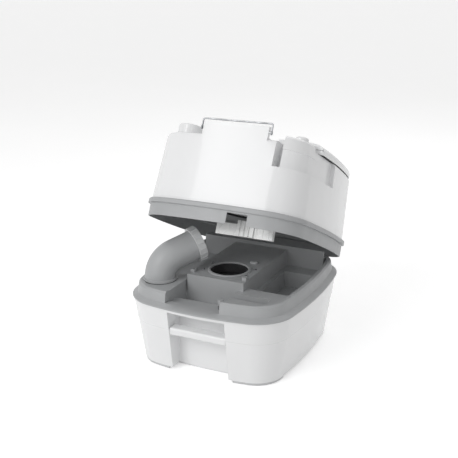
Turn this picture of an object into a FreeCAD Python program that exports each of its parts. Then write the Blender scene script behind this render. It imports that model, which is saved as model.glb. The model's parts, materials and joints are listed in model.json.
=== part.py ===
"""Cassette toilet: a waste tank below, and a flush tank with bowl, seat and lid that tilts off it.

Millimetres. +Z is up, +X is the side of the pump, -Y is the side of the carry handle, and the origin
is on the floor under the middle of the waste tank. Pieces of the flush tank are drawn where they are
when the toilet is closed, and their Placement then tilts them open about the far edge.
"""
import FreeCAD
import Part
import Sketcher

import math
import os
from types import SimpleNamespace

from FreeCAD import Rotation, Vector

DIMENSIONS = {
    # overall plan, shared by the two tanks
    "plan_width": 383, "plan_depth": 427, "corner_round": 85, "side_bulge": 8, "wall": 2.6,
    "running_gap": 0.5,
    # waste tank
    "foot_rise": 6, "sole_inset": 58, "tank_base_inset": 23.5, "tank_top_inset": 3,
    "seam_rise": 98, "seam_step": 1,
    "tank_top": 146, "recess_left": -64, "recess_right": 66, "recess_depth": 56.5, "recess_top": 139,
    "grip_bottom": 86, "grip_top": 103, "grip_depth": 26, "grip_inset": 14,
    "foot_from_x": 74, "foot_from_y": 118,
    # deck on the waste tank
    "rim_top": 149, "slope_inset": 11, "slope_top": 155, "ridge_inset": 14, "ridge_top": 178,
    "basin_inset": 25, "basin_floor": 150, "pad_top": 176, "pad_right": -73, "pad_far": -85,
    "shelf_left": 52, "shelf_top": 171, "shelf_far": -86, "plateau_front": -107, "plateau_top": 189,
    "plateau_left": -70, "plateau_right": 62, "far_hump_front": 134, "far_hump_top": 197,
    "far_hump_side": 150, "trough_left": 72, "trough_right": 151, "trough_front": -88,
    "trough_far": 96, "trough_floor": 112, "trench_front": -150, "trench_far": -122,
    "trench_floor": 131, "trench_right": 130, "post_size": 9, "post_rise": 7,
    # slide valve
    "valve_y": -45, "valve_radius": 41, "ring_radius": 47, "ring_rise": 3, "blade_top": 170,
    "blade_thick": 3, "blade_size": 94, "rod_width": 16,
    "rod_level": 138, "rod_leg_y": 88, "grip_width": 70, "slide_gap": 0.5,
    "screw_radius": 1.8, "screw_length": 9, "screw_spread_x": 51, "screw_spread_y": 22,
    # pour-out spout
    "spout_x": -125, "spout_y": -127, "spout_radius": 33, "spout_wall": 3, "spout_bend": 48,
    "spout_turn": 72, "spout_heading": 50, "spout_arm": 58, "spout_foot": 5, "collar_reach": 4,
    "spout_cap_radius": 38,
    "spout_cap_length": 17, "swivel_gap": 0.4,
    # vent, relief and level parts of the waste tank
    "vent_x": 40, "vent_y": -168, "vent_radius": 6, "vent_rise": 22, "vent_travel": 4,
    "relief_x": 31, "relief_y": 16, "relief_radius": 9, "level_x": 78, "level_z": 122,
    "level_radius": 13, "float_y": 170, "float_arm": 45, "float_radius": 14, "float_width": 24,
    # tilt of the flush tank
    "tilt_inset": 5.5, "tilt_z": 91.1, "tilt_angle": 25.22,
    # flush tank base
    "skirt_bottom": 154, "skirt_inset": 5, "lip_bottom": 181, "lip_top": 191, "land_inset": 28,
    "land_level": 185, "ceiling": 204,
    "bay_inset": 21, "bay_left": -172, "bay_right": -34, "bay_front": -172,
    "bay_far": -14, "bay_top": 291, "notch_left": 36, "notch_right": 80,
    # flush tank
    "body_inset": 6, "body_taper": 8, "body_top": 337, "top_round": 7, "opening_half": 154,
    "opening_near": -84,
    "opening_far": 186, "wall_left": -58, "wall_right": 87, "wall_thick": 16, "wall_top": 363,
    "ledge_left": 107, "ledge_far": -12, "ledge_level": 283, "turret_left": 119,
    "notch_far": -158, "turret_inset": 9, "turret_far": -110, "turret_top": 351,
    "bowl_half_width": 118, "bowl_half_length": 128, "bowl_y": 44, "bowl_top": 318,
    "throat_half_width": 59, "throat_half_length": 69, "throat_y": 6,
    "outlet_radius": 40,
    # seat and lid
    "seat_bottom": 322.5, "seat_thick": 12, "seat_margin": 6, "lid_bottom": 338, "lid_thick": 23,
    "hinge_y": -91, "hinge_z": 346, "hinge_radius": 3, "lid_near": -94, "lug_from": 50,
    "ear_from": 64, "ear_to": 70, "lug_to": 80, "lid_edge": 15, "buffer_x": 120,
    # caps, pump, bail and latch
    "cap_x": -111, "cap_y": -152, "cap_radius": 25, "cap_thick": 22, "neck_radius": 18,
    "pump_x": 138, "pump_y": -133, "knob_radius": 14, "knob_rise": 12, "pump_stroke": 11,
    "well_depth": 15,
    "piston_radius": 11, "bail_gap": 6, "bail_inset": 22.5, "bail_wire": 1.8,
    "bail_pivot": 350, "bail_top": 369, "latch_left": -12, "latch_right": 116, "latch_y": -136,
    "latch_thick": 12, "latch_bottom": 139, "latch_axis": 172, "latch_pin": 3,
}


class Size:
    """A number together with the spreadsheet expression that gives it."""

    def __init__(self, number, text=None):
        self.number = float(number)
        self.text = text or repr(float(number))

    def __float__(self):
        return self.number

    def __add__(self, other):
        return Size(self.number + float(other), f"({self.text} + {text_of(other)})")

    def __sub__(self, other):
        return Size(self.number - float(other), f"({self.text} - {text_of(other)})")

    def __mul__(self, other):
        return Size(self.number * float(other), f"({self.text} * {text_of(other)})")

    def __truediv__(self, other):
        return Size(self.number / float(other), f"({self.text} / {text_of(other)})")

    def __neg__(self):
        return Size(-self.number, f"(0 - {self.text})")

    def __radd__(self, other):
        return Size(other) + self

    def __rsub__(self, other):
        return Size(other) - self

    def __rmul__(self, other):
        return Size(other) * self


def text_of(value):
    return value.text if isinstance(value, Size) else repr(float(value))


doc = FreeCAD.newDocument("cassette_toilet")
sheet = doc.addObject("Spreadsheet::Sheet", "Sizes")
for row, (alias, value) in enumerate(DIMENSIONS.items(), start=1):
    sheet.set(f"A{row}", alias)
    sheet.set(f"B{row}", str(value))
    sheet.setAlias(f"B{row}", alias)
doc.recompute()
D = SimpleNamespace(**{alias: Size(value, f"Sizes.{alias}") for alias, value in DIMENSIONS.items()})

UP, ALONG, ACROSS = Vector(0, 0, 1), Vector(0, 1, 0), Vector(1, 0, 0)
LOWER = FreeCAD.Placement()
TILT_Y = float(D.plan_depth / 2 - D.tilt_inset)
UPPER = FreeCAD.Placement(
    Vector(), Rotation(ACROSS, -float(D.tilt_angle)), Vector(0, TILT_Y, float(D.tilt_z)))
nodes = []


# ---- primitives whose sizes and places follow the sheet ----

def add(kind, name="piece"):
    return doc.addObject(kind, name)


def place(item, x, y, z):
    for axis, value in (("x", x), ("y", y), ("z", z)):
        item.setExpression(f"Placement.Base.{axis}", text_of(value))
    return item


def box(x0, x1, y0, y1, z0, z1):
    item = add("Part::Box", "block")
    for side, low, high in (("Length", x0, x1), ("Width", y0, y1), ("Height", z0, z1)):
        item.setExpression(side, f"({text_of(high)} - {text_of(low)})")
    return place(item, x0, y0, z0)


def rod(direction, radius, length, x, y, z):
    item = add("Part::Cylinder", "rod")
    item.Placement.Rotation = Rotation(UP, direction)
    item.setExpression("Radius", text_of(radius))
    item.setExpression("Height", text_of(length))
    return place(item, x, y, z)


def fuse(*items):
    item = add("Part::MultiFuse", "joined")
    item.Shapes = list(items)
    return item


def cut(base, *tools):
    item = add("Part::Cut", "cut")
    item.Base = base
    item.Tool = tools[0] if len(tools) == 1 else fuse(*tools)
    return item


def tube(direction, outer, inner, length, x, y, z):
    return cut(rod(direction, outer, length, x, y, z), rod(direction, inner, length, x, y, z))


def finish(item, label, home):
    item.Label = label
    item.Placement = home
    nodes.append(item)
    return item


def node(label, home, *items):
    """A sub-part made of primitives: one solid, or a group of separate solids."""
    group = add("Part::Compound", label)
    group.Links = list(items)
    return finish(group, label, home)


def shaped(label, home, shape):
    """A sub-part whose lofted or swept shape is worked out here from the sheet's sizes."""
    item = add("Part::Feature", label)
    item.Shape = shape
    return finish(item, label, home)


def turned(label, home, x, y, z, profile):
    """A body turned about an upright axis, from a profile of (radius, height) points."""
    body = doc.addObject("PartDesign::Body", label)
    sketch = body.newObject("Sketcher::SketchObject", label + "_profile")
    plane = next(part for part in body.Origin.OriginFeatures if part.Role == "XZ_Plane")
    sketch.AttachmentSupport = [(plane, "")]
    sketch.MapMode = "FlatFace"
    ends = profile[1:] + profile[:1]
    for (radius, rise), (next_radius, next_rise) in zip(profile, ends):
        start = Vector(float(radius), float(rise), 0)
        sketch.addGeometry(Part.LineSegment(start, Vector(float(next_radius), float(next_rise), 0)), False)
    for index in range(len(profile)):
        following = (index + 1) % len(profile)
        sketch.addConstraint(Sketcher.Constraint("Coincident", index, 2, following, 1))
    for index, point in enumerate(profile):
        for kind, axis, value in (("DistanceX", -2, point[0]), ("DistanceY", -1, point[1])):
            if float(value) == 0:
                sketch.addConstraint(Sketcher.Constraint("PointOnObject", index, 1, axis))
            else:
                held = sketch.addConstraint(Sketcher.Constraint(kind, -1, 1, index, 1, float(value)))
                sketch.setExpression(f"Constraints[{held}]", text_of(value))
    turn = body.newObject("PartDesign::Revolution", label + "_turn")
    turn.Profile = sketch
    turn.ReferenceAxis = (sketch, ["V_Axis"])
    turn.Angle = 360
    stand = FreeCAD.Placement(Vector(float(x), float(y), float(z)), Rotation())
    return finish(body, label, home.multiply(stand))


# ---- the rounded, slightly bulging plan that both tanks share ----

def outline(inset, z):
    """The plan outline, moved inwards by inset: four long side arcs and four corner arcs."""
    half_x = float(D.plan_width) / 2 - inset
    half_y = float(D.plan_depth) / 2 - inset
    bulge = float(D.side_bulge)
    corner = max(float(D.corner_round) - inset, 8.0)
    centre_x, centre_y = half_x - bulge - corner, half_y - bulge - corner
    side_x = corner + (bulge ** 2 + centre_y ** 2) / (2 * bulge)
    side_y = corner + (bulge ** 2 + centre_x ** 2) / (2 * bulge)
    middle_x, middle_y = half_x - side_x, half_y - side_y

    def touch(x, y, radius):
        away = Vector(centre_x - x, centre_y - y, 0)
        return Vector(x, y, 0) + away.normalize() * radius

    right, far = touch(middle_x, 0, side_x), touch(0, middle_y, side_y)
    diagonal = (right + far) * 0.5 - Vector(centre_x, centre_y, 0)
    elbow = Vector(centre_x, centre_y, 0) + diagonal.normalize() * corner
    arcs = [
        (Vector(right.x, -right.y, 0), Vector(half_x, 0, 0), right),
        (right, elbow, far),
        (far, Vector(0, half_y, 0), Vector(-far.x, far.y, 0)),
        (Vector(-far.x, far.y, 0), Vector(-elbow.x, elbow.y, 0), Vector(-right.x, right.y, 0)),
    ]
    arcs += [tuple(Vector(-p.x, -p.y, 0) for p in arc) for arc in arcs]
    lift = Vector(0, 0, z)
    return Part.Wire([Part.Arc(*(p + lift for p in arc)).toShape() for arc in arcs])


def stack(*levels):
    """A solid through the plan outlines at the given (inset, z) levels, lowest first."""
    layers = [Part.makeLoft([outline(*low), outline(*high)], True, True)
              for low, high in zip(levels, levels[1:]) if high[1] > low[1]]
    return layers[0].fuse(layers[1:]) if len(layers) > 1 else layers[0]


def block(x0, x1, y0, y1, z0, z1):
    return Part.makeBox(x1 - x0, y1 - y0, z1 - z0, Vector(x0, y0, z0))


def column(radius, x, y, z0, z1):
    return Part.makeCylinder(radius, z1 - z0, Vector(x, y, z0))


def rounded_block(x0, x1, y0, y1, z0, z1, radius):
    return upright_fillet(block(x0, x1, y0, y1, z0, z1), radius)


def upright_fillet(solid, radius):
    edges = [e for e in solid.Edges if abs(e.tangentAt(e.FirstParameter).z) > 0.99]
    return solid.makeFillet(radius, edges)


V = SimpleNamespace(**{alias: float(value) for alias, value in DIMENSIONS.items()})


# ---- waste tank ----

def tank_taper(level):
    """How far the tank's side stands inside the plan at a height."""
    share = (level - V.foot_rise) / (V.tank_top - V.foot_rise)
    return V.tank_base_inset + share * (V.tank_top_inset - V.tank_base_inset)


def make_waste_tank():
    recess_back = -V.plan_depth / 2 + V.recess_depth
    steps = [(V.tank_base_inset, V.foot_rise), (tank_taper(V.seam_rise), V.seam_rise),
             (tank_taper(V.seam_rise) - V.seam_step, V.seam_rise + V.seam_step),
             (V.tank_top_inset, V.tank_top)]
    sole = stack((V.sole_inset + 2, 0), (V.sole_inset, V.foot_rise + 1))
    sole_hollow = stack((V.sole_inset + 2 + V.wall, V.wall),
                        (V.sole_inset + V.wall, V.foot_rise + V.wall + 1))
    outside = stack(*steps).fuse(sole)
    hollow = stack((V.tank_base_inset + V.wall + 1, V.foot_rise + V.wall),
                   (V.tank_top_inset + V.wall + 1, V.tank_top)).fuse(sole_hollow)
    recess = block(V.recess_left, V.recess_right, -V.plan_depth, recess_back, 0, V.recess_top)
    around = block(V.recess_left - V.wall, V.recess_right + V.wall, -V.plan_depth,
                   recess_back + V.wall, 0, V.recess_top + V.wall)
    rod_slot = block(-V.rod_width / 2 - 2, V.rod_width / 2 + 2, V.plan_depth / 2 - 30,
                     V.plan_depth / 2 + 1, V.rod_level - 2, V.rod_level + V.blade_thick + 2)
    window = Part.makeCylinder(V.level_radius + 0.1, 60,
                               Vector(V.level_x, V.plan_depth / 2 - 50, V.level_z), ALONG)
    shell = outside.cut([recess, rod_slot, window]).cut(hollow.cut(around))
    shaped("waste_tank", LOWER, shell)


def make_carry_handle():
    front = -V.plan_depth / 2 + V.grip_inset
    grip = block(V.recess_left, V.recess_right, front, front + V.grip_depth, V.grip_bottom, V.grip_top)
    edges = [e for e in grip.Edges if abs(e.tangentAt(e.FirstParameter).x) > 0.99]
    shaped("carry_handle", LOWER, grip.makeFillet(5, edges))


def make_feet():
    """Four pads that follow the tank's rounded corners, as one group."""
    sole = stack((V.tank_base_inset + 2, 0), (V.tank_base_inset, V.foot_rise))
    corners = [block(x0, x1, y0, y1, 0, V.foot_rise)
               for x0, x1 in ((-V.plan_width, -V.foot_from_x), (V.foot_from_x, V.plan_width))
               for y0, y1 in ((-V.plan_depth, -V.foot_from_y), (V.foot_from_y, V.plan_depth))]
    middle = stack((V.sole_inset - V.running_gap, 0), (V.sole_inset - V.running_gap, V.foot_rise))
    pads = [sole.common(corner).cut(middle) for corner in corners]
    shaped("tank_feet", LOWER, Part.makeCompound(pads))


def deck_envelope(skin):
    """The space under the deck's top surface, drawn in by a skin's thickness."""
    ridge = stack((skin, V.tank_top), (skin, V.rim_top), (V.slope_inset + skin, V.slope_top - skin),
                  (V.ridge_inset + skin, V.ridge_top - 4 - skin),
                  (V.ridge_inset + 4 + skin, V.ridge_top - skin))
    basin = stack((V.basin_inset + 4 - skin, V.basin_floor - skin),
                  (V.basin_inset - skin, V.ridge_top + 1))
    corner_pad = block(-V.plan_width, V.pad_right - skin, -V.plan_depth, V.pad_far - skin,
                       V.tank_top, V.pad_top - skin)
    shelf = block(V.shelf_left + skin, V.plan_width, -V.plan_depth, V.shelf_far - skin,
                  V.tank_top, V.shelf_top - skin)
    plateau = block(V.plateau_left + skin, V.plateau_right - skin, V.plateau_front + skin,
                    V.plan_depth, V.tank_top, V.plateau_top - skin)
    hump = block(-V.far_hump_side + skin, V.far_hump_side - skin, V.far_hump_front + skin,
                 V.plan_depth, V.tank_top, V.far_hump_top - skin)
    limit = stack((V.basin_inset - 1 - skin, V.tank_top), (V.basin_inset - 1 - skin, V.ridge_top - skin),
                  (V.land_inset + 2 + skin, V.ridge_top + 3 - skin),
                  (V.land_inset + 2 + skin, V.far_hump_top + 1))
    hills = corner_pad.fuse([shelf, plateau, hump]).common(limit)
    front_notch = block(V.pad_right - skin, V.shelf_left + skin, -V.plan_depth,
                        V.plateau_front, V.slope_top - skin, V.ridge_top + 1)
    spout_seat = column(V.spout_radius + V.collar_reach + V.running_gap + skin, V.spout_x, V.spout_y,
                        V.pad_top - skin, V.ridge_top + 1)
    trough = block(V.trough_left - skin, V.trough_right + skin, V.trough_front - skin,
                   V.trough_far + skin, V.trough_floor - skin, V.ridge_top + 1)
    trench = block(V.pad_right - skin, V.trench_right + skin, V.trench_front - skin,
                   V.trench_far + skin, V.trench_floor - skin, V.ridge_top + 1)
    pocket = block(V.pad_right - skin, V.shelf_left + skin, V.trench_front - skin,
                   V.plateau_front + skin, V.trench_floor - skin, V.ridge_top + 1)
    top = ridge.cut(basin).fuse(hills).cut([front_notch, spout_seat])
    return top, trough.fuse([trench, pocket])


def screw_places():
    return [(x, V.valve_y + y) for x in (V.screw_spread_x, -V.screw_spread_x)
            for y in (V.screw_spread_y, -V.screw_spread_y)]


def make_tank_deck():
    """One skin that follows the ridge, basin, pads, plateau, trough and trench."""
    top, pits = deck_envelope(0)
    inside, deep_pits = deck_envelope(V.wall)
    floor_inset = V.tank_top_inset + V.wall + 2
    floor = stack((floor_inset, V.basin_floor - V.wall), (floor_inset, V.basin_floor))
    below = stack((floor_inset, V.trough_floor - V.wall), (floor_inset, V.basin_floor))
    tub = deep_pits.common(top.fuse(below))
    skin = top.cut(inside).fuse([floor.cut(inside), tub]).cut(pits)
    holes = [column(V.spout_radius + V.swivel_gap, V.spout_x, V.spout_y, V.tank_top - 10, V.pad_top + 1),
             column(V.valve_radius, 0, V.valve_y, V.tank_top - 10, V.plateau_top + 1),
             column(V.vent_radius / 2 + 0.2, V.vent_x, V.vent_y, V.tank_top - 10, V.basin_floor + 1),
             column(V.relief_radius / 2 + 0.1, V.relief_x, V.relief_y, V.tank_top - 10,
                    V.plateau_top + 1)]
    holes += [column(V.screw_radius + 0.2, x, y, V.plateau_top - V.wall - 1, V.plateau_top + 1)
              for x, y in screw_places()]
    posts = [block(x, x + V.post_size, V.plateau_front + 14, V.plateau_front + 14 + V.post_size,
                   V.plateau_top - 1, V.plateau_top + V.post_rise)
             for x in (V.plateau_left + 1, V.plateau_right - V.post_size - 1)]
    shaped("tank_deck", LOWER, skin.cut(holes).fuse(posts).removeSplitter())


# ---- slide valve ----

def make_valve():
    top = D.blade_top
    under = top - D.blade_thick
    node("valve_ring", LOWER,
         tube(UP, D.ring_radius, D.valve_radius, D.ring_rise, 0, D.valve_y, D.plateau_top))
    throat = D.valve_radius - D.slide_gap
    node("valve_lip_seal", LOWER,
         tube(UP, throat, throat - 3, D.plateau_top - top - 1, 0, D.valve_y, top + D.slide_gap))
    half = D.blade_size / 2
    near, far = D.valve_y - half - 4, D.far_hump_front - 10
    lid_y = D.valve_y + half + 4
    guide = cut(box(-half - 6, half + 6, near, far, under - 5, D.plateau_top - D.wall),
                box(-half, half, lid_y, far + 1, top + 3, D.plateau_top),
                box(-half - D.slide_gap, half + D.slide_gap, D.valve_y - half - D.slide_gap, far + 1,
                    under - D.slide_gap, top + D.slide_gap),
                rod(UP, D.valve_radius, 40, 0, D.valve_y, under - 6),
                box(-D.rod_width / 2 - 1, D.rod_width / 2 + 1, D.rod_leg_y - 4, far + 1,
                    under - 6, under),
                rod(UP, D.relief_radius / 2 + 1, 40, D.relief_x, D.relief_y, top),
                *[rod(UP, D.screw_radius + 0.05, D.screw_length, x, y, D.plateau_top - D.screw_length + 1)
                  for x in (D.screw_spread_x, -D.screw_spread_x)
                  for y in (D.valve_y + D.screw_spread_y, D.valve_y - D.screw_spread_y)])
    node("valve_guide", LOWER, guide)
    blade = fuse(
        box(-half, half, D.valve_y - half, D.valve_y + half, under, top),
        box(-D.rod_width / 2, D.rod_width / 2, D.valve_y + half - 1, D.rod_leg_y, under, top),
        box(-D.rod_width / 2, D.rod_width / 2, D.rod_leg_y - D.blade_thick, D.rod_leg_y,
            D.rod_level, top),
        box(-D.rod_width / 2, D.rod_width / 2, D.rod_leg_y - D.blade_thick, D.plan_depth / 2 + 6,
            D.rod_level, D.rod_level + D.blade_thick))
    node("valve_blade", LOWER, blade)
    pull_y = D.plan_depth / 2 + 6
    pull = box(-D.grip_width / 2, D.grip_width / 2, pull_y, pull_y + 12, D.rod_level - 8,
               D.rod_level + 9)
    node("valve_pull", LOWER, pull)
    screws = [fuse(rod(UP, D.screw_radius * 2, 2, x, y, D.plateau_top),
                   rod(UP, D.screw_radius, D.screw_length, x, y, D.plateau_top - D.screw_length + 1))
              for x in (D.screw_spread_x, -D.screw_spread_x)
              for y in (D.valve_y + D.screw_spread_y, D.valve_y - D.screw_spread_y)]
    node("valve_screws", LOWER, *screws)


# ---- spout ----

def spout_solid(radius, extra=0.0):
    """Upright foot, a bend and an arm, all of one radius, heading along its stored direction."""
    foot = Part.makeCylinder(radius, V.spout_foot + extra, Vector(0, 0, -extra))
    section = Part.Face(Part.Wire(Part.makeCircle(radius, Vector(0, 0, V.spout_foot), UP)))
    bend = section.revolve(Vector(V.spout_bend, 0, V.spout_foot), ALONG, V.spout_turn)
    turn = math.radians(V.spout_turn)
    end = Vector(V.spout_bend * (1 - math.cos(turn)), 0, V.spout_foot + V.spout_bend * math.sin(turn))
    aim = Vector(math.sin(turn), 0, math.cos(turn))
    arm = Part.makeCylinder(radius, V.spout_arm + extra, end, aim)
    return foot.fuse([bend, arm]), end + aim * V.spout_arm, aim


SEAL_THICK = 1.5
SPOUT_HOME = FreeCAD.Placement(
    Vector(V.spout_x, V.spout_y, V.pad_top), Rotation(UP, V.spout_heading))


def make_spout():
    outside, mouth, aim = spout_solid(V.spout_radius)
    inside, _, _ = spout_solid(V.spout_radius - V.spout_wall, 1.0)
    neck_drop = 12
    collar = Part.makeCylinder(V.spout_radius + V.collar_reach, 4, Vector(0, 0, 1))
    neck = Part.makeCylinder(V.spout_radius, neck_drop, Vector(0, 0, -neck_drop))
    bore = Part.makeCylinder(V.spout_radius - V.spout_wall, neck_drop + 1, Vector(0, 0, -neck_drop - 0.5))
    shaped("spout_elbow", SPOUT_HOME, outside.fuse([collar, neck]).cut([inside, bore]).removeSplitter())
    node("spout_seal", LOWER,
         tube(UP, D.spout_radius + D.collar_reach - 0.5, D.spout_radius + D.swivel_gap, 0.9,
              D.spout_x, D.spout_y, D.pad_top + 0.05))
    clip = cut(tube(UP, D.spout_radius + D.collar_reach, D.spout_radius + D.swivel_gap, 3,
                    D.spout_x, D.spout_y, D.pad_top - D.wall - 3),
               box(D.spout_x - 6, D.spout_x + 6, D.spout_y, D.spout_y + 60, D.pad_top - 12, D.pad_top))
    node("spout_retaining_clip", LOWER, clip)
    gap, ribs = V.swivel_gap, 20
    inside_length = V.spout_cap_length - V.wall
    start = mouth + aim * (SEAL_THICK + 0.4 - inside_length)
    shell = Part.makeCylinder(V.spout_cap_radius, V.spout_cap_length, start, aim)
    hollow = Part.makeCylinder(V.spout_radius + gap, inside_length, start, aim)
    cap = shell.cut(hollow)
    grips = []
    for index in range(ribs):
        rib = Part.makeCylinder(1.2, V.spout_cap_length - 2, start + aim, aim)
        rib.translate(aim.cross(ALONG).normalize() * V.spout_cap_radius)
        rib.rotate(start, aim, 360 * index / ribs)
        grips.append(rib)
    shaped("spout_cap", SPOUT_HOME, cap.fuse(grips).removeSplitter())
    base = mouth + aim * 0.2
    washer = Part.makeCylinder(V.spout_radius - 0.3, SEAL_THICK, base, aim)
    hole = Part.makeCylinder(V.spout_radius - V.spout_wall - 2, SEAL_THICK, base, aim)
    shaped("spout_cap_gasket", SPOUT_HOME, washer.cut(hole))


# ---- small parts of the waste tank ----

def make_vent_relief_level():
    stem = D.vent_radius / 2
    turned("vent_button", LOWER, D.vent_x, D.vent_y, D.basin_floor,
           [(0, -D.wall - 1), (stem, -D.wall - 1), (stem, D.vent_travel + 6),
            (D.vent_radius, D.vent_travel + 6), (D.vent_radius, D.vent_rise), (0, D.vent_rise)])
    turned("vent_spring", LOWER, D.vent_x, D.vent_y, D.basin_floor,
           [(stem + 0.6, 0.3), (D.vent_radius - 0.6, 0.3), (D.vent_radius - 0.6, D.vent_travel + 5.7),
            (stem + 0.6, D.vent_travel + 5.7)])
    turned("relief_valve", LOWER, D.relief_x, D.relief_y, D.plateau_top,
           [(0, -D.wall), (D.relief_radius / 2, -D.wall), (D.relief_radius / 2, 0),
            (D.relief_radius, 0), (D.relief_radius, 3), (D.relief_radius - 2, 5), (0, 5)])
    pane_y = D.plan_depth / 2 - 9
    node("level_window", LOWER, rod(ALONG, D.level_radius, 3, D.level_x, pane_y, D.level_z))
    half, cheek, pin = D.float_width / 4, 2.5, 2
    cheeks = [box(D.level_x + x, D.level_x + x + cheek, D.float_y - 4, pane_y, D.level_z - 4,
                  D.level_z + 4) for x in (half + 1, -(half + 1) - cheek)]
    node("float_bracket", LOWER, fuse(*cheeks, rod(ACROSS, pin, half * 2 + 2 + cheek * 2,
         D.level_x - half - 1 - cheek, D.float_y, D.level_z)))
    eye = tube(ACROSS, pin + 3, pin + 0.05, half * 2, D.level_x - half, D.float_y, D.level_z)
    stem = rod(UP, 2, D.float_arm - pin - 2.5, D.level_x, D.float_y, D.level_z - D.float_arm)
    node("float_arm", LOWER, fuse(eye, stem))
    bob = cut(rod(ACROSS, D.float_radius, D.float_width, D.level_x - D.float_width / 2, D.float_y,
                  D.level_z - D.float_arm - D.float_radius + 4),
              rod(UP, 2, 6, D.level_x, D.float_y, D.level_z - D.float_arm))
    node("level_float", LOWER, bob)


# ---- flush tank base ----

def underside(skin):
    """The hollow under the flush tank, grown by a skin's thickness: land, ceiling and spout bay."""
    land = stack((V.skirt_inset + V.wall - skin, V.skirt_bottom - 1),
                 (V.skirt_inset + V.wall - skin, V.land_level + skin))
    raised = stack((V.land_inset - skin, V.skirt_bottom), (V.land_inset - skin, V.ceiling + skin))
    bay = rounded_block(V.bay_left - skin, V.bay_right + skin, V.bay_front - skin, V.bay_far + skin,
                        V.skirt_bottom, V.bay_top + skin, 30 + skin)
    limit = stack((V.bay_inset - skin, V.skirt_bottom), (V.bay_inset - skin, V.bay_top + skin + 1))
    bay = bay.common(limit).cut(bowl_solid(V.wall + V.running_gap - skin, V.ceiling, V.bowl_top))
    return land.fuse([raised, bay])


def make_flush_base():
    """Skirt, lip, stepped underside and the bay that the stored spout sits up into."""
    space = underside(0)
    skin = underside(V.wall).common(
        stack((V.skirt_inset, V.skirt_bottom), (V.skirt_inset, V.bay_top + V.wall)))
    lip = stack((0, V.lip_bottom), (0, V.lip_top - 2), (2, V.lip_top))
    lip = lip.cut(stack((V.land_inset - V.wall, V.lip_bottom), (V.land_inset - V.wall, V.lip_top)))
    notch = block(V.notch_left, V.notch_right, -V.plan_depth, -V.plan_depth / 2 + V.land_inset - 8,
                  V.skirt_bottom - 1, V.lip_bottom - 4)
    outlet = column(V.outlet_radius, 0, V.valve_y, V.ceiling - 1, V.ceiling + V.wall + 1)
    shape = skin.fuse(lip).cut([space, notch, outlet])
    ears = [block(x, x + 5, V.latch_y - 6, V.latch_y + 6, V.latch_axis - 5, V.ceiling)
            for x in (V.latch_left - 6, V.latch_right + 1)]
    pins = [Part.makeCylinder(V.latch_pin + 0.05, 7, Vector(x, V.latch_y, V.latch_axis), ACROSS)
            for x in (V.latch_left - 7, V.latch_right)]
    shaped("flush_base", UPPER, shape.fuse(ears).cut(pins).removeSplitter())


# ---- flush tank shell ----

def body_inset(level):
    share = (level - V.lip_top) / (V.body_top - V.lip_top)
    return V.body_inset + share * V.body_taper


def hinge_seats():
    """Solid posts and ears that carry the seat and lid pins, and the cuts that clear their lugs."""
    posts, cuts = [], []
    for side in (1, -1):
        low, high = sorted((side * (V.lug_from - 4), side * (V.ear_to + 2)))
        posts.append(block(low, high, V.hinge_y - 9, V.opening_near, V.bowl_top - V.wall, V.body_top))
        low, high = sorted((side * V.ear_from, side * V.ear_to))
        posts.append(block(low, high, V.hinge_y - 5, V.hinge_y + 5, V.body_top - 6, V.hinge_z + 5))
        low, high = sorted((side * (V.lug_from - 1), side * (V.ear_from - 0.5)))
        cuts.append(block(low, high, V.hinge_y - 7, V.opening_near + 1, V.seat_bottom + 4,
                          V.hinge_z + 8))
        cuts.append(Part.makeCylinder(V.hinge_radius + 0.05, V.plan_width,
                                      Vector(-V.plan_width / 2, V.hinge_y, V.hinge_z), ACROSS))
    return posts, cuts


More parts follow.
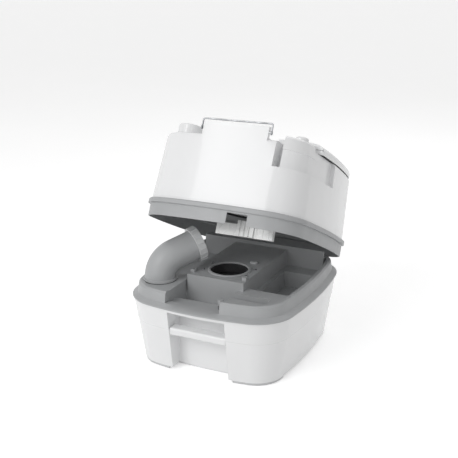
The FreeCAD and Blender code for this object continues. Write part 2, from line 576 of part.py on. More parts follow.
def make_flush_tank():
    """White outer shell, open below, with the seat recess, rear wall, pump ledge and turret."""
    def envelope(skin):
        shoulder = V.body_top - V.top_round
        main = stack((V.body_inset + skin, V.lip_top), (body_inset(shoulder) + skin, shoulder - skin / 2),
                     (body_inset(V.body_top) + V.top_round / 4 + skin, V.body_top - V.top_round / 3 - skin),
                     (body_inset(V.body_top) + V.top_round + skin, V.body_top - skin))
        inset = body_inset(V.ledge_level) + V.turret_inset + skin
        above = stack((-1, V.ledge_level - skin), (-1, V.body_top + 1))
        turret = stack((inset, V.ledge_level - skin - 1), (inset + 3, V.body_top + 2))
        corner = block(V.ledge_left, V.plan_width, -V.plan_depth, V.ledge_far + skin,
                       V.ledge_level - skin, V.body_top + 1)
        notch = block(V.ledge_left - skin, V.turret_left + skin, -V.plan_depth, V.notch_far + skin,
                      V.ledge_level - skin, V.body_top + 1)
        band = above.cut(turret).common(corner)
        raised = stack((inset, V.body_top - V.well_depth), (inset + 4, V.turret_top - 4 - skin),
                       (inset + 8, V.turret_top - skin)).common(
            block(V.turret_left + skin, V.plan_width, -V.plan_depth, V.turret_far - skin,
                  V.body_top - V.well_depth, V.turret_top - skin))
        wall_y = -V.plan_depth / 2 + body_inset(V.body_top)
        wall = block(V.wall_left + skin, V.wall_right - skin, wall_y - 5, wall_y + V.wall_thick - skin,
                     V.body_top - 20, V.wall_top - skin).common(
            stack((V.body_inset + skin, V.lip_top), (body_inset(V.wall_top) + skin, V.wall_top)))
        return main.cut([band, notch]).fuse([wall, raised])

    opening = rounded_block(-V.opening_half, V.opening_half, V.opening_near, V.opening_far,
                            V.bowl_top, V.wall_top, 60)
    rim = rounded_block(-V.opening_half - V.wall, V.opening_half + V.wall, V.opening_near - V.wall,
                        V.opening_far + V.wall, V.bowl_top - V.wall, V.wall_top, 62)
    through = bowl_solid(0.3, V.bowl_top - V.wall - 1, V.bowl_top + 1)
    neck = column(V.neck_radius - V.wall, V.cap_x, V.cap_y, V.body_top - 10, V.body_top + 20)
    neck_wall = column(V.neck_radius, V.cap_x, V.cap_y, V.body_top - 8, V.body_top + 12)
    well = column(V.knob_radius + 1, V.pump_x, V.pump_y, V.turret_top - V.well_depth, V.turret_top + 1)
    well_wall = column(V.knob_radius + 1 + V.wall, V.pump_x, V.pump_y,
                       V.turret_top - V.well_depth - V.wall, V.turret_top - V.wall)
    bore = column(V.piston_radius + 0.5, V.pump_x, V.pump_y, V.turret_top - 30, V.turret_top + 1)
    hinge_posts, hinge_cuts = hinge_seats()
    inside = envelope(V.wall).cut([rim, neck_wall, well_wall] + hinge_posts)
    bail_holes = [Part.makeCylinder(V.bail_wire + 0.05, V.wall + 2,
                                    Vector(x, V.bail_inset - V.plan_depth / 2, V.bail_pivot), ACROSS)
                  for x in (V.wall_left - 1, V.wall_right - V.wall - 1)]
    shell = envelope(0).fuse([neck_wall] + hinge_posts).cut([opening, neck, well, bore] + bail_holes)
    shell = shell.cut(hinge_cuts).cut(inside).cut(through)
    shaped("flush_tank", UPPER, shell.removeSplitter())


def ellipse_wire(half_width, half_length, y, z):
    long_side = max(half_width, half_length)
    short_side = min(half_width, half_length)
    turn = ALONG if half_length >= half_width else ACROSS
    side = -ACROSS if half_length >= half_width else ALONG
    centre = Vector(0, y, z)
    curve = Part.Ellipse(centre + turn * long_side, centre + side * short_side, centre)
    return Part.Wire(curve.toShape())


def bowl_solid(grow, low, high):
    """The bowl's body at a size, between two heights: an oval mouth drawn back to a round outlet."""
    levels = [(V.outlet_radius - 2, V.outlet_radius - 1.9, V.valve_y, V.ceiling - 6),
              (V.outlet_radius - 2, V.outlet_radius - 1.9, V.valve_y, V.ceiling + 8),
              (V.throat_half_width, V.throat_half_length, V.throat_y, V.ceiling + 38),
              (V.bowl_half_width, V.bowl_half_length, V.bowl_y, V.bowl_top)]
    wires = [ellipse_wire(across + grow, along + grow, y, z) for across, along, y, z in levels]
    lower = Part.makeLoft(wires[:2], True, True)
    upper = Part.makeLoft(wires[1:], True, False)
    solid = lower.fuse(upper)
    if high > V.bowl_top:
        solid = solid.fuse(Part.Face(wires[-1]).extrude(UP * (high - V.bowl_top)))
    return solid.common(block(-V.plan_width, V.plan_width, -V.plan_depth, V.plan_depth, low, high))


def make_bowl():
    outer = bowl_solid(0, V.ceiling - 6, V.bowl_top)
    inner = bowl_solid(-V.wall, V.ceiling - 7, V.bowl_top + V.wall + 1)
    rim = Part.Face(ellipse_wire(V.bowl_half_width + 9, V.bowl_half_length + 9, V.bowl_y,
                                 V.bowl_top)).extrude(UP * V.wall)
    rim = rim.common(block(-V.plan_width, V.plan_width, V.opening_near + V.running_gap, V.plan_depth,
                           V.bowl_top, V.bowl_top + V.wall))
    shaped("bowl", UPPER, outer.fuse(rim).cut(inner))
    node("bowl_outlet_seal", UPPER,
         tube(UP, D.outlet_radius + 8, D.outlet_radius - 1.6, 9, 0, D.valve_y, D.ceiling - 9.5))


# ---- seat and lid ----

def lug_bores():
    return Part.makeCylinder(V.hinge_radius + 0.05, V.plan_width,
                             Vector(-V.plan_width / 2, V.hinge_y, V.hinge_z), ACROSS)


def make_seat_and_lid():
    gap = V.seat_margin
    seat_top = V.seat_bottom + V.seat_thick
    seat = rounded_block(-V.opening_half + gap, V.opening_half - gap, V.opening_near + gap,
                         V.opening_far - gap, V.seat_bottom, seat_top, 54)
    hole = Part.Face(ellipse_wire(V.bowl_half_width - 12, V.bowl_half_length - 14, V.bowl_y,
                                  V.seat_bottom - 1)).extrude(UP * (V.seat_thick + 2))
    lugs = []
    for side in (1, -1):
        low, high = sorted((side * V.lug_from, side * (V.ear_from - 1)))
        lugs.append(block(low, high, V.hinge_y - 5, V.opening_near + gap + 6, V.seat_bottom + 5,
                          seat_top + 2))
        lugs.append(block(low, high, V.hinge_y - 5, V.hinge_y + 5, V.seat_bottom + 5, V.hinge_z + 5))
    shaped("seat", UPPER, seat.cut(hole).fuse(lugs).cut(lug_bores()).removeSplitter())

    edge, low, top = V.lid_edge, V.lid_bottom, V.lid_bottom + V.lid_thick
    whole = stack((edge, low), (edge, low + 9), (edge + 2, low + 14), (edge + 7, low + 18),
                  (edge + 18, top - 2), (edge + 36, top))
    inner = stack((edge + V.wall, low - 1), (edge + V.wall, low + 8), (edge + V.wall + 8, top - 7),
                  (edge + V.wall + 20, top - 4))
    plate = whole.common(block(-V.plan_width, V.plan_width, V.lid_near, V.plan_depth, low, top))
    hollow = inner.common(block(-V.plan_width, V.plan_width, V.hinge_y + 8, V.plan_depth, low - 1, top))
    notches = [block(*sorted((side * (V.lug_from - 1), side * (V.ear_to + 1))), V.lid_near - 1,
                     V.hinge_y + 12, low - 1, top + 1) for side in (1, -1)]
    shaped("lid", UPPER, plate.cut([hollow, lug_bores()] + notches).removeSplitter())
    pins = [Part.makeCylinder(V.hinge_radius, V.lug_to - V.lug_from,
                              Vector(x, V.hinge_y, V.hinge_z), ACROSS)
            for x in (V.lug_from, -V.lug_to)]
    shaped("hinge_pins", UPPER, Part.makeCompound(pins))
    pad_y = (V.opening_far - gap - 14, V.opening_near + gap + 40)
    pads = [column(7, x, y, V.bowl_top, V.seat_bottom - 0.3)
            for x in (-V.buffer_x, V.buffer_x) for y in pad_y]
    shaped("seat_buffers", UPPER, Part.makeCompound(pads))
    lid_pads = [column(6, x, V.opening_far - gap - 20, seat_top + 0.3,
                       V.lid_bottom + V.lid_thick - 4.3)
                for x in (-70, 70)]
    shaped("lid_buffers", UPPER, Part.makeCompound(lid_pads))


# ---- fill cap, pump, bail and latch ----

def make_fill_cap():
    top, thick = D.body_top, D.cap_thick
    turned("fill_cap", UPPER, D.cap_x, D.cap_y, 0,
           [(D.neck_radius + 0.5, top + 1), (D.cap_radius, top + 1), (D.cap_radius, top + thick - 2),
            (D.cap_radius - 2, top + thick), (0, top + thick), (0, top + 14),
            (D.neck_radius + 0.5, top + 14)])
    turned("fill_cap_seal", UPPER, D.cap_x, D.cap_y, 0,
           [(D.neck_radius - D.wall, top + 12.2), (D.neck_radius, top + 12.2), (D.neck_radius, top + 13.7),
            (D.neck_radius - D.wall, top + 13.7)])


def make_pump():
    top = D.turret_top - D.well_depth
    rod_radius = D.piston_radius / 2
    foot = D.ceiling + D.wall
    lift = D.pump_stroke + 1
    turned("pump_knob", UPPER, D.pump_x, D.pump_y, 0,
           [(0, top + lift), (D.knob_radius, top + lift), (D.knob_radius, top + lift + D.knob_rise - 3),
            (D.knob_radius - 3, top + lift + D.knob_rise), (0, top + lift + D.knob_rise)])
    turned("pump_plunger", UPPER, D.pump_x, D.pump_y, 0,
           [(0, foot + 44), (D.piston_radius, foot + 44), (D.piston_radius, foot + 52),
            (rod_radius, foot + 52), (rod_radius, top + lift), (0, top + lift)])
    turned("pump_bush", UPPER, D.pump_x, D.pump_y, 0,
           [(rod_radius + 0.05, top - D.wall - 4), (D.piston_radius + 3, top - D.wall - 4),
            (D.piston_radius + 3, top - D.wall), (D.piston_radius + 0.5, top - D.wall),
            (D.piston_radius + 0.5, top), (rod_radius + 0.05, top)])
    turned("pump_cylinder", UPPER, D.pump_x, D.pump_y, 0,
           [(0, foot), (D.piston_radius + 3, foot), (D.piston_radius + 3, top - D.wall - 4),
            (D.piston_radius + 0.3, top - D.wall - 4), (D.piston_radius + 0.3, foot + 3), (0, foot + 3)])
    turned("pump_spring", UPPER, D.pump_x, D.pump_y, 0,
           [(D.piston_radius - 3, foot + 3), (D.piston_radius - 0.7, foot + 3),
            (D.piston_radius - 0.7, foot + 44 - D.pump_stroke),
            (D.piston_radius - 3, foot + 44 - D.pump_stroke)])


def wire_path(points, bend):
    """Straight runs joined by tangent arcs of the given bend radius."""
    edges, start = [], points[0]
    for index in range(1, len(points) - 1):
        before = (points[index - 1] - points[index]).normalize()
        after = (points[index + 1] - points[index]).normalize()
        half_turn = (math.pi - before.getAngle(after)) / 2
        back = bend * math.tan(half_turn)
        enter, leave = points[index] + before * back, points[index] + after * back
        centre = points[index] + (before + after).normalize() * (bend / math.cos(half_turn))
        middle = centre + (points[index] - centre).normalize() * bend
        edges += [Part.LineSegment(start, enter).toShape(), Part.Arc(enter, middle, leave).toShape()]
        start = leave
    edges.append(Part.LineSegment(start, points[-1]).toShape())
    return Part.Wire(edges)


def make_bail():
    left, right = V.wall_left - V.bail_gap, V.wall_right + V.bail_gap
    reach = V.wall + 1
    stops = [(V.wall_left + reach, V.bail_pivot), (left, V.bail_pivot), (left, V.bail_top),
             (right, V.bail_top), (right, V.bail_pivot), (V.wall_right - reach, V.bail_pivot)]
    path = wire_path([Vector(x, V.bail_inset - V.plan_depth / 2, z) for x, z in stops], 4)
    section = Part.Wire(Part.makeCircle(V.bail_wire, path.Edges[0].Vertexes[0].Point, ACROSS))
    shaped("bail_handle", UPPER, path.makePipeShell([section], True, False))


def make_latch():
    half = V.latch_thick / 2
    bar = block(V.latch_left, V.latch_right, V.latch_y - half, V.latch_y + half, V.latch_bottom,
                V.latch_axis - 8)
    arms = [block(x, x + 9, V.latch_y - half, V.latch_y + half, V.latch_bottom, V.latch_axis + 5)
            for x in (V.latch_left, V.latch_right - 9)]
    tab = block(V.notch_left, V.notch_right - 6, V.latch_y - half - 4, V.latch_y + half,
                V.latch_bottom, V.latch_axis)
    grooves = [block(x, x + 3, V.latch_y - half - 5, V.latch_y - half - 2, V.latch_bottom - 1,
                     V.latch_axis + 1) for x in (V.notch_left + 7, V.notch_left + 17, V.notch_left + 27)]
    pin = Part.makeCylinder(V.latch_pin, V.latch_right - V.latch_left + 12,
                            Vector(V.latch_left - 6, V.latch_y, V.latch_axis), ACROSS)
    pin = pin.cut(block(V.latch_left + 5, V.latch_right - 5, V.latch_y - half, V.latch_y + half,
                        V.latch_axis - 5, V.latch_axis + 5))
    shaped("release_latch", UPPER, bar.fuse(arms + [tab]).cut(grooves).fuse(pin).removeSplitter())


for make in (make_waste_tank, make_carry_handle, make_feet, make_tank_deck, make_valve, make_spout,
             make_vent_relief_level, make_flush_base, make_flush_tank, make_bowl, make_seat_and_lid,
             make_fill_cap, make_pump, make_bail, make_latch):
    make()
doc.recompute()

for item in doc.Objects:
    if {"Invalid", "Error"} & set(item.State):
        raise RuntimeError(f"{item.Label} did not recompute: {item.State}")
for item in nodes:
    if item.Shape.isNull() or not item.Shape.isValid() or not item.Shape.Solids:
        raise RuntimeError(f"{item.Label} has no valid solid")

os.makedirs("parts", exist_ok=True)
for item in nodes:
    item.Shape.exportStep(f"parts/{item.Label}.step")
    print(item.Label, len(item.Shape.Solids), round(item.Shape.Volume / 1000, 1))
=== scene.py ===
"""Looks of the cassette toilet: rounded shells, modelled small parts, finishes, light and camera."""
import json
import math

import bpy
from mathutils import Matrix, Vector


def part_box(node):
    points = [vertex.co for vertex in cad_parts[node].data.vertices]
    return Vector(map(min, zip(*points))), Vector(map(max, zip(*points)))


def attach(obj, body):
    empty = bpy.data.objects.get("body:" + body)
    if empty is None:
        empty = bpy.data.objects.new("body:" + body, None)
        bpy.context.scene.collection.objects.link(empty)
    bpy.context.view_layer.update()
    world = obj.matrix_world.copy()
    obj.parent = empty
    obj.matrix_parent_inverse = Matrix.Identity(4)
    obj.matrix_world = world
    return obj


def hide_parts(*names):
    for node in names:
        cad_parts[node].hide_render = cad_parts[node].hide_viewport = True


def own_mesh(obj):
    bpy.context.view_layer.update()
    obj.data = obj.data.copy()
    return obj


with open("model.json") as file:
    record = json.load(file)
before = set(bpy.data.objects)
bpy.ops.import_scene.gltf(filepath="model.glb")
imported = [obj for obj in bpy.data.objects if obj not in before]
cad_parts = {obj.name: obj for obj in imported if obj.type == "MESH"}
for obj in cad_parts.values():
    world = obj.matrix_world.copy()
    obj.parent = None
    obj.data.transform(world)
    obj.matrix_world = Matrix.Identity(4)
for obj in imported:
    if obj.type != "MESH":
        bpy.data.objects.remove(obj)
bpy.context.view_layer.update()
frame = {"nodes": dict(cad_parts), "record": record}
cad = frame["nodes"]
behaviour = frame["record"]["behaviour"]
held_by = {node: body for body, group in behaviour["bodies"].items() for node in group}
joints = {joint["name"]: joint for joint in behaviour["joints"]}
slot_of = {part["node"]: part["material_slot"] for part in frame["record"]["subparts"]}

MM = 0.001
UP = Vector((0, 0, 1))
EDGE_ANGLE = 32             # degrees: a sharper fold is an edge, to be rounded and shaded as one
WIRE_ANGLE = 60             # degrees: the same for round wire
MERGE_DISTANCE = 0.00002    # metres
FLAT_ANGLE = 0.8            # degrees: faces nearer to flat than this are made one
NOISE_LOW, NOISE_HIGH = 0.3, 0.7    # a noise texture seldom leaves this range

TILT = joints["flush_tank_tilt"]
TILT_POINT = Vector(TILT["pos_m"])
# the turn that takes the upper unit from closed to its rest, tilted open
OPENED = (Matrix.Translation(TILT_POINT) @ Matrix.Rotation(-math.radians(TILT["range_deg"][1]), 4, "X")
          @ Matrix.Translation(-TILT_POINT))


# ---- small tools ----

def deselect():
    if bpy.context.object and bpy.context.object.mode != "OBJECT":
        bpy.ops.object.mode_set(mode="OBJECT")
    bpy.ops.object.select_all(action="DESELECT")


def pick(piece):
    deselect()
    bpy.context.view_layer.objects.active = piece
    piece.select_set(True)
    return piece


def fresh(name):
    """The primitive that was just added, named and selected."""
    piece = bpy.context.object
    piece.name = name
    return pick(piece)


def settle(piece):
    """The object goes back to the origin, and its place goes into its mesh."""
    pick(piece)
    bpy.ops.object.transform_apply(location=True, rotation=True, scale=True)
    return piece


def apply_modifier(piece, kind, **settings):
    pick(piece)
    modifier = piece.modifiers.new(kind.lower(), kind)
    for key, value in settings.items():
        setattr(modifier, key, value)
    bpy.ops.object.modifier_apply(modifier=modifier.name)
    return piece


def bevel(piece, width, segments=3):
    return apply_modifier(piece, "BEVEL", width=width, segments=segments, limit_method="ANGLE",
                          angle_limit=math.radians(EDGE_ANGLE), miter_outer="MITER_ARC",
                          use_clamp_overlap=True)


def smooth(piece, angle=EDGE_ANGLE):
    pick(piece)
    bpy.ops.object.shade_smooth_by_angle(angle=math.radians(angle))
    return piece


def joined(name, pieces):
    deselect()
    for piece in pieces:
        piece.select_set(True)
    bpy.context.view_layer.objects.active = pieces[0]
    if len(pieces) > 1:
        bpy.ops.object.join()
    return fresh(name)


def stand(piece, origin, axis):
    """Turns a piece drawn upright at the origin onto a line, and leaves its place in its mesh."""
    piece.matrix_world = Matrix.Translation(origin) @ axis.to_track_quat("Z", "X").to_matrix().to_4x4()
    bpy.context.view_layer.update()
    return settle(piece)


def middle(node):
    low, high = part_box(node)
    return (low + high) / 2


def reach(node, origin, axis):
    """How far a round node goes along a line, and its least and greatest distance from it."""
    offsets = [vertex.co - origin for vertex in cad[node].data.vertices]
    along = [offset.dot(axis) for offset in offsets]
    away = [offset.cross(axis).length for offset in offsets]
    return min(along), max(along), min(away), max(away)


def hand_over(piece, node):
    """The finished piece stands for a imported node: it moves with it and takes its slot and finish."""
    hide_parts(node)
    return belong(piece, node)


def belong(piece, node):
    piece.data.materials.clear()
    piece.data.materials.append(finishes[slot_of[node]])
    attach(piece, held_by[node])
    return piece


# ---- finishes ----

class Finish:
    """A node material whose pattern follows the piece's own coordinates."""

    def __init__(self, name, **sockets):
        self.material = bpy.data.materials.new(name)
        self.material.use_nodes = True
        self.nodes = self.material.node_tree.nodes
        self.links = self.material.node_tree.links
        self.shader = self.nodes["Principled BSDF"]
        self.coords = self.nodes.new("ShaderNodeTexCoord").outputs["Object"]
        for socket, value in sockets.items():
            self.shader.inputs[socket.replace("_", " ")].default_value = value

    def noise(self, scale, detail=3.0, stretch=(1, 1, 1)):
        mapping = self.nodes.new("ShaderNodeMapping")
        mapping.inputs["Scale"].default_value = stretch
        noise = self.nodes.new("ShaderNodeTexNoise")
        noise.inputs["Scale"].default_value = scale
        noise.inputs["Detail"].default_value = detail
        self.links.new(self.coords, mapping.inputs["Vector"])
        self.links.new(mapping.outputs["Vector"], noise.inputs["Vector"])
        return noise.outputs["Fac"]

    def spread(self, value, low, high):
        """Brings a noise, which keeps near its middle, to the range from low to high."""
        scale = self.nodes.new("ShaderNodeMapRange")
        scale.inputs["From Min"].default_value = NOISE_LOW
        scale.inputs["From Max"].default_value = NOISE_HIGH
        scale.inputs["To Min"].default_value = low
        scale.inputs["To Max"].default_value = high
        self.links.new(value, scale.inputs["Value"])
        return scale.outputs["Result"]

    def colour(self, value, dark, light):
        ramp = self.nodes.new("ShaderNodeValToRGB")
        ramp.color_ramp.elements[0].color = (*dark, 1)
        ramp.color_ramp.elements[1].color = (*light, 1)
        ramp.color_ramp.elements[0].position = NOISE_LOW
        ramp.color_ramp.elements[1].position = NOISE_HIGH
        self.links.new(value, ramp.inputs["Fac"])
        self.links.new(ramp.outputs["Color"], self.shader.inputs["Base Color"])

    def rough(self, value, low, high):
        self.links.new(self.spread(value, low, high), self.shader.inputs["Roughness"])

    def bumps(self, *layers):
        """Surface relief from (pattern, strength, depth) layers, coarse first."""
        normal = None
        for value, strength, depth in layers:
            bump = self.nodes.new("ShaderNodeBump")
            bump.inputs["Strength"].default_value = strength
            bump.inputs["Distance"].default_value = depth
            self.links.new(value, bump.inputs["Height"])
            if normal:
                self.links.new(normal, bump.inputs["Normal"])
            normal = bump.outputs["Normal"]
        self.links.new(normal, self.shader.inputs["Normal"])


def glossy_white():
    """Polished white moulding with faint flow marks and a slightly uneven gloss."""
    finish = Finish("glossy_white_moulding", Coat_Weight=0.35, Coat_Roughness=0.06)
    finish.colour(finish.noise(4.0, 1.0), (0.868, 0.873, 0.88), (0.885, 0.888, 0.892))
    finish.rough(finish.noise(16.0, 1.0), 0.2, 0.27)
    finish.bumps((finish.noise(6.0, 0.0), 0.08, 0.001), (finish.noise(300.0, 1.0), 0.02, 0.00005))
    return finish.material


def grained_grey(name, dark, light, roughness):
    """Matt grey moulding with a fine spark grain, mottled a little by flow."""
    finish = Finish(name, Specular_IOR_Level=0.42)
    finish.colour(finish.noise(14.0), dark, light)
    finish.rough(finish.noise(60.0), roughness - 0.06, roughness + 0.08)
    finish.bumps((finish.noise(11.0, 1.0), 0.1, 0.001), (finish.noise(780.0, 2.0), 0.14, 0.00012))
    return finish.material


def milky_latch():
    """Thin natural nylon: bright and slightly see-through."""
    finish = Finish("milky_nylon", Transmission_Weight=0.08, Coat_Weight=0.25, Coat_Roughness=0.12)
    finish.colour(finish.noise(30.0), (0.80, 0.81, 0.80), (0.88, 0.885, 0.88))
    finish.rough(finish.noise(50.0, 1.0), 0.22, 0.32)
    finish.bumps((finish.noise(180.0, 1.0), 0.02, 0.00005),)
    return finish.material


def black_moulding():
    finish = Finish("black_moulding")
    finish.colour(finish.noise(20.0), (0.014, 0.014, 0.015), (0.03, 0.03, 0.031))
    finish.rough(finish.noise(90.0), 0.36, 0.52)
    finish.bumps((finish.noise(650.0, 2.0), 0.15, 0.0001),)
    return finish.material


def rubber(name, dark, light):
    """Soft rubber: matt, with a bloom that shows as paler patches."""
    finish = Finish(name, Specular_IOR_Level=0.3)
    finish.colour(finish.noise(45.0, 5.0), dark, light)
    finish.rough(finish.noise(120.0), 0.62, 0.82)
    finish.bumps((finish.noise(500.0, 3.0), 0.22, 0.00015),)
    return finish.material


def bright_steel():
    """Chromed spring wire, with drawing marks stretched along its length."""
    finish = Finish("bright_wire", Metallic=1.0)
    finish.colour(finish.noise(70.0), (0.20, 0.205, 0.215), (0.42, 0.43, 0.44))
    finish.rough(finish.noise(240.0, 2.0, (0.15, 1, 1)), 0.12, 0.24)
    finish.bumps((finish.noise(700.0, 2.0, (0.1, 1, 1)), 0.06, 0.00008),)
    return finish.material


def window_clear():
    finish = Finish("window_clear", Transmission_Weight=0.92, IOR=1.49)
    finish.colour(finish.noise(40.0), (0.86, 0.90, 0.91), (0.94, 0.96, 0.97))
    finish.rough(finish.noise(90.0), 0.03, 0.1)
    finish.bumps((finish.noise(60.0, 2.0), 0.05, 0.0002),)
    return finish.material


finishes = {
    "white_gloss": glossy_white(),
    "grey_plastic": grained_grey("deck_grey", (0.405, 0.413, 0.42), (0.435, 0.443, 0.45), 0.4),
    "light_grey_plastic": grained_grey("light_grey", (0.57, 0.58, 0.585), (0.62, 0.625, 0.63), 0.38),
    "latch_plastic": milky_latch(),
    "black_plastic": black_moulding(),
    "black_rubber": rubber("seal_rubber", (0.016, 0.016, 0.017), (0.04, 0.04, 0.042)),
    "soft_grey_rubber": rubber("buffer_rubber", (0.22, 0.22, 0.225), (0.30, 0.30, 0.305)),
    "steel": bright_steel(),
    "clear_window": window_clear(),
}


# ---- shells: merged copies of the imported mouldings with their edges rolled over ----

def merged(node):
    """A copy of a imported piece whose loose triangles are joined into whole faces."""
    piece = cad[node].copy()
    piece.data = cad[node].data.copy()
    piece.name = node + "_moulding"
    bpy.context.collection.objects.link(piece)
    piece.parent = None
    pick(piece)
    bpy.ops.object.mode_set(mode="EDIT")
    bpy.ops.mesh.select_all(action="SELECT")
    bpy.ops.mesh.remove_doubles(threshold=MERGE_DISTANCE)
    bpy.ops.mesh.dissolve_limited(angle_limit=math.radians(FLAT_ANGLE))
    bpy.ops.object.mode_set(mode="OBJECT")
    return piece


def rolled(node, width):
    """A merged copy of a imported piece, with every sharp edge rounded as a moulding's is."""
    piece = smooth(bevel(merged(node), width))
    return apply_modifier(piece, "WEIGHTED_NORMAL", keep_sharp=True)


def make_shells():
    """The mouldings, each with its edges rounded by the width given for it in millimetres."""
    widths = {"waste_tank": 3.0, "tank_deck": 5.0, "flush_base": 2.5, "flush_tank": 3.0, "lid": 2.5,
              "seat": 3.0, "carry_handle": 3.0, "tank_feet": 1.2, "bowl": 0.8, "valve_ring": 0.9,
              "valve_pull": 2.0, "valve_blade": 0.5, "valve_guide": 0.5, "relief_valve": 0.8,
              "vent_button": 1.0, "spout_elbow": 0.8, "spout_cap": 0.6, "pump_knob": 1.2,
              "bail_handle": 0.3}
    for node, width in widths.items():
        hand_over(rolled(node, width * MM), node)


# ---- small parts modelled new ----

def make_coil(name, node, axis, turns):
    """An open coil spring in the space that its packed sleeve keeps."""
    wire_sides, steps = 10, 28
    origin = middle(node)
    low, high, inner, outer = reach(node, origin, axis)
    wire = (outer - inner) / 2
    deselect()
    bpy.ops.mesh.primitive_circle_add(vertices=wire_sides, radius=wire, location=((outer + inner) / 2, 0, 0),
                                      rotation=(math.radians(90), 0, 0))
    coil = settle(fresh(name))
    rise = (high - low - 2 * wire) / turns
    apply_modifier(coil, "SCREW", axis="Z", angle=2 * math.pi, screw_offset=rise, iterations=turns,
                   steps=steps, render_steps=steps, use_merge_vertices=False)
    bpy.ops.object.mode_set(mode="EDIT")
    bpy.ops.mesh.select_all(action="DESELECT")
    bpy.ops.mesh.select_non_manifold()
    bpy.ops.mesh.fill_holes(sides=0)
    bpy.ops.mesh.select_all(action="SELECT")
    bpy.ops.mesh.normals_make_consistent(inside=False)
    bpy.ops.object.mode_set(mode="OBJECT")
    stand(coil, origin + axis * (low + wire), axis)
    return hand_over(smooth(coil, WIRE_ANGLE), node)


def make_vent_coil():
    """The vent button's spring, with a mesh of its own."""
    turns = 4
    coil = make_coil("vent_coil", "vent_spring", UP, turns)
    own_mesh(coil)


def make_screws():
    """Four pan-head screws with crossed slots round the slide valve's opening."""
    low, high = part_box("valve_screws")
    head, head_rise, shank = 3.6 * MM, 2.0 * MM, 1.7 * MM
    slot_length, slot_width, slot_depth = 4.4 * MM, 0.9 * MM, 2.2 * MM
    head_edge, shank_edge = 0.9 * MM, 0.4 * MM
    slot_turn = 20
    screws = []
    for x in (low.x + head, high.x - head):
        for y in (low.y + head, high.y - head):
            deselect()
            bpy.ops.mesh.primitive_cylinder_add(vertices=28, radius=head, depth=head_rise,
                                                location=(x, y, high.z - head_rise / 2))
            top = bevel(settle(fresh("screw_head")), head_edge)
            for turn in (0, 90):
                bpy.ops.mesh.primitive_cube_add(size=1, location=(x, y, high.z))
                slot = fresh("slot_cutter")
                slot.scale = (slot_length, slot_width, slot_depth)
                slot.rotation_euler.z = math.radians(turn + slot_turn)
                settle(slot)
                apply_modifier(top, "BOOLEAN", operation="DIFFERENCE", object=slot)
                bpy.data.objects.remove(slot)
            bpy.ops.mesh.primitive_cylinder_add(
                vertices=16, radius=shank, depth=high.z - low.z - head_rise,
                location=(x, y, (low.z + high.z - head_rise) / 2))
            screws += [top, bevel(settle(fresh("screw_shank")), shank_edge, 2)]
    return hand_over(smooth(joined("valve_screw_set", screws)), "valve_screws")


def ribs_round(count, radius, length, thick, base):
    """Upright round ribs on a circle round the Z axis."""
    end_share = 0.6
    ribs = []
    for index in range(count):
        angle = 2 * math.pi * index / count
        deselect()
        bpy.ops.mesh.primitive_cylinder_add(
            vertices=10, radius=thick, depth=length,
            location=(radius * math.cos(angle), radius * math.sin(angle), base + length / 2))
        ribs.append(bevel(settle(fresh("rib")), thick * end_share, 2))
    return ribs


def make_fill_cap():
    """The water cap: its moulding with rounded shoulders and a ring of grip ribs."""
    grip_count, grip_radius, grip_sunk = 30, 0.9 * MM, 0.4 * MM
    grip_short, grip_start, shoulder = 5 * MM, 1.5 * MM, 2.2 * MM
    axis = Vector(joints["fill_cap_turn"]["axis"])
    origin = Vector(joints["fill_cap_turn"]["pos_m"])
    low, high, _, outer = reach("fill_cap", origin, axis)
    grips = joined("grips", ribs_round(grip_count, outer - grip_sunk, high - low - grip_short,
                                       grip_radius, low + grip_start))
    stand(grips, origin, axis)
    cap = rolled("fill_cap", shoulder)
    return hand_over(smooth(joined("fill_cap_moulding", [cap, grips])), "fill_cap")


def make_bail_eyes():
    """Wire eyes at the bail's two ends, round the line that it swings on."""
    inset, ring, wire = 1.8 * MM, 3.4 * MM, 1.5 * MM
    pivot = Vector(joints["bail_swing"]["pos_m"])
    low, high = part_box("bail_handle")
    eyes = []
    for x in (low.x + inset, high.x - inset):
        deselect()
        bpy.ops.mesh.primitive_torus_add(major_radius=ring, minor_radius=wire, major_segments=28,
                                         minor_segments=12, location=(x, pivot.y, pivot.z),
                                         rotation=(0, math.radians(90), 0))
        eyes.append(settle(fresh("eye")))
    return belong(smooth(joined("bail_wire_eyes", eyes), WIRE_ANGLE), "bail_handle")


def make_window():
    """The level window: a shallow domed lens, raised in two steps on its outer face."""
    first_inset, first_rise = 0.3, 0.8 * MM
    second_inset, second_rise = 0.35, 0.4 * MM
    outer_facing, edge = 0.9, 0.4 * MM
    low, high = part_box("level_window")
    centre = (low + high) / 2
    radius = (high.x - low.x) / 2
    deselect()
    bpy.ops.mesh.primitive_cylinder_add(vertices=48, radius=radius, depth=high.y - low.y, location=centre,
                                        rotation=(math.radians(-90), 0, 0))
    lens = settle(fresh("level_lens"))
    bpy.ops.object.mode_set(mode="EDIT")
    bpy.ops.mesh.select_all(action="DESELECT")
    bpy.ops.object.mode_set(mode="OBJECT")
    for face in lens.data.polygons:
        face.select = face.normal.y > outer_facing
    bpy.ops.object.mode_set(mode="EDIT")
    bpy.ops.mesh.inset(thickness=radius * first_inset)
    bpy.ops.transform.translate(value=(0, first_rise, 0))
    bpy.ops.mesh.inset(thickness=radius * second_inset)
    bpy.ops.transform.translate(value=(0, second_rise, 0))
    bpy.ops.object.mode_set(mode="OBJECT")
    return hand_over(smooth(bevel(lens, edge, 2)), "level_window")


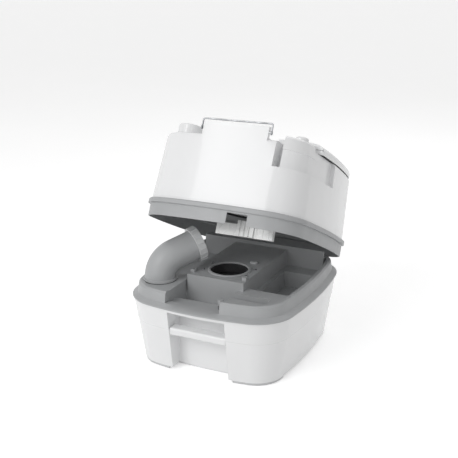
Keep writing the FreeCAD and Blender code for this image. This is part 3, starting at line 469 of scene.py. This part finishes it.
def make_pull_ribs():
    """Finger ribs across the outer face of the slide valve's pull."""
    pitch, sunk, edge = 7 * MM, 0.4 * MM, 0.7 * MM
    wide, deep, tall_share = 2.4 * MM, 1.6 * MM, 0.62
    low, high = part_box("valve_pull")
    ribs = []
    for step in range(-3, 4):
        deselect()
        bpy.ops.mesh.primitive_cube_add(size=1, location=(step * pitch, high.y - sunk,
                                                          (low.z + high.z) / 2))
        rib = fresh("rib")
        rib.scale = (wide, deep, (high.z - low.z) * tall_share)
        ribs.append(bevel(settle(rib), edge))
    return belong(smooth(joined("valve_pull_ribs", ribs)), "valve_pull")


def make_latch():
    """The release latch: its moulding rounded, with stiffening ribs near one end of the bar.

    The ribs are drawn upright, as with the toilet closed, and then tilted with the upper unit.
    """
    rib_size, edge = (1.8 * MM, 2.2 * MM, 20 * MM), 0.6 * MM
    behind_front, above_bottom = 4.6 * MM, 12 * MM
    latch = rolled("release_latch", 1.3 * MM)
    closed = OPENED.inverted()
    corners = [closed @ vertex.co for vertex in cad["release_latch"].data.vertices]
    left, right = min(c.x for c in corners), max(c.x for c in corners)
    front, bottom = min(c.y for c in corners), min(c.z for c in corners)
    ribs = []
    for share in (0.70, 0.80, 0.90):
        deselect()
        bpy.ops.mesh.primitive_cube_add(size=1, location=(left + (right - left) * share,
                                                          front + behind_front,
                                                          bottom + above_bottom))
        rib = fresh("rib")
        rib.scale = rib_size
        ribs.append(bevel(settle(rib), edge, 2))
    stiffeners = joined("stiffeners", ribs)
    stiffeners.matrix_world = OPENED
    bpy.context.view_layer.update()
    settle(stiffeners)
    return hand_over(smooth(joined("release_latch_moulding", [latch, stiffeners])), "release_latch")


def paint_packed_nodes():
    """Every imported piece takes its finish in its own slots, shown or replaced."""
    for node, piece in cad.items():
        for place in piece.material_slots:
            place.material = finishes[slot_of[node]]


# ---- stage, light and camera ----

def make_camera():
    azimuth, elevation = math.radians(25.843), math.radians(17.569)
    data = bpy.data.cameras.new("camera")
    data.sensor_width = 36
    data.lens = 66.13
    camera = bpy.data.objects.new("camera", data)
    bpy.context.collection.objects.link(camera)
    back = Vector((math.sin(azimuth) * math.cos(elevation), -math.cos(azimuth) * math.cos(elevation),
                   math.sin(elevation)))
    camera.location = (0.74317, -1.58133, 0.82152)
    camera.rotation_mode = "QUATERNION"
    camera.rotation_quaternion = (-back).to_track_quat("-Z", "Y")
    bpy.context.scene.camera = camera


def seen_directly(nodes, links):
    """One for rays that should meet a white background: from the camera, mirrors and glass."""
    path = nodes.new("ShaderNodeLightPath")
    total = path.outputs["Is Camera Ray"]
    for name in ("Is Glossy Ray", "Is Transmission Ray"):
        both = nodes.new("ShaderNodeMath")
        both.operation = "MAXIMUM"
        links.new(total, both.inputs[0])
        links.new(path.outputs[name], both.inputs[1])
        total = both.outputs["Value"]
    return total


def make_floor():
    """A pale floor, lifted to the white of the backdrop only where it is seen directly."""
    width, lift_strength = 40, 0.4
    deselect()
    bpy.ops.mesh.primitive_plane_add(size=width)
    floor = fresh("floor")
    finish = Finish("studio_floor", Emission_Color=(1, 1, 1, 1))
    finish.colour(finish.noise(2.0), (0.93, 0.93, 0.93), (0.95, 0.95, 0.95))
    finish.rough(finish.noise(9.0), 0.8, 0.9)
    lift = finish.nodes.new("ShaderNodeMath")
    lift.operation = "MULTIPLY"
    lift.inputs[1].default_value = lift_strength
    finish.links.new(seen_directly(finish.nodes, finish.links), lift.inputs[0])
    finish.links.new(lift.outputs["Value"], finish.shader.inputs["Emission Strength"])
    floor.data.materials.append(finish.material)


def make_world():
    """Plain light from all round, and full white where the backdrop is seen directly."""
    light_strength, seen_strength = 0.47, 1.0
    world = bpy.data.worlds.new("studio")
    bpy.context.scene.world = world
    world.use_nodes = True
    nodes, links = world.node_tree.nodes, world.node_tree.links
    backdrop = nodes["Background"]
    backdrop.inputs["Color"].default_value = (1, 1, 1, 1)
    strength = nodes.new("ShaderNodeMapRange")
    strength.inputs["To Min"].default_value = light_strength
    strength.inputs["To Max"].default_value = seen_strength
    links.new(seen_directly(nodes, links), strength.inputs["Value"])
    links.new(strength.outputs["Result"], backdrop.inputs["Strength"])


def make_lamp(name, place, size, energy, aim=(0, 0, 0.22)):
    bpy.ops.object.light_add(type="AREA", location=place)
    lamp = bpy.context.object
    lamp.name = name
    lamp.data.size = size
    lamp.data.energy = energy
    lamp.rotation_mode = "QUATERNION"
    lamp.rotation_quaternion = (Vector(place) - Vector(aim)).to_track_quat("Z", "Y")


make_shells()
make_vent_coil()
make_coil("pump_coil", "pump_spring", Vector(joints["pump_stroke"]["axis"]).normalized(), 6)
make_screws()
make_fill_cap()
make_bail_eyes()
make_window()
make_pull_ribs()
make_latch()
paint_packed_nodes()

make_camera()
make_floor()
make_world()
make_lamp("key", (-0.9, -2.1, 1.6), 1.6, 25)
make_lamp("fill", (1.6, -2.2, 1.2), 1.2, 3)
make_lamp("rim", (0.2, 1.8, 2.2), 1.6, 10)
bpy.context.scene.view_settings.view_transform = "Standard"
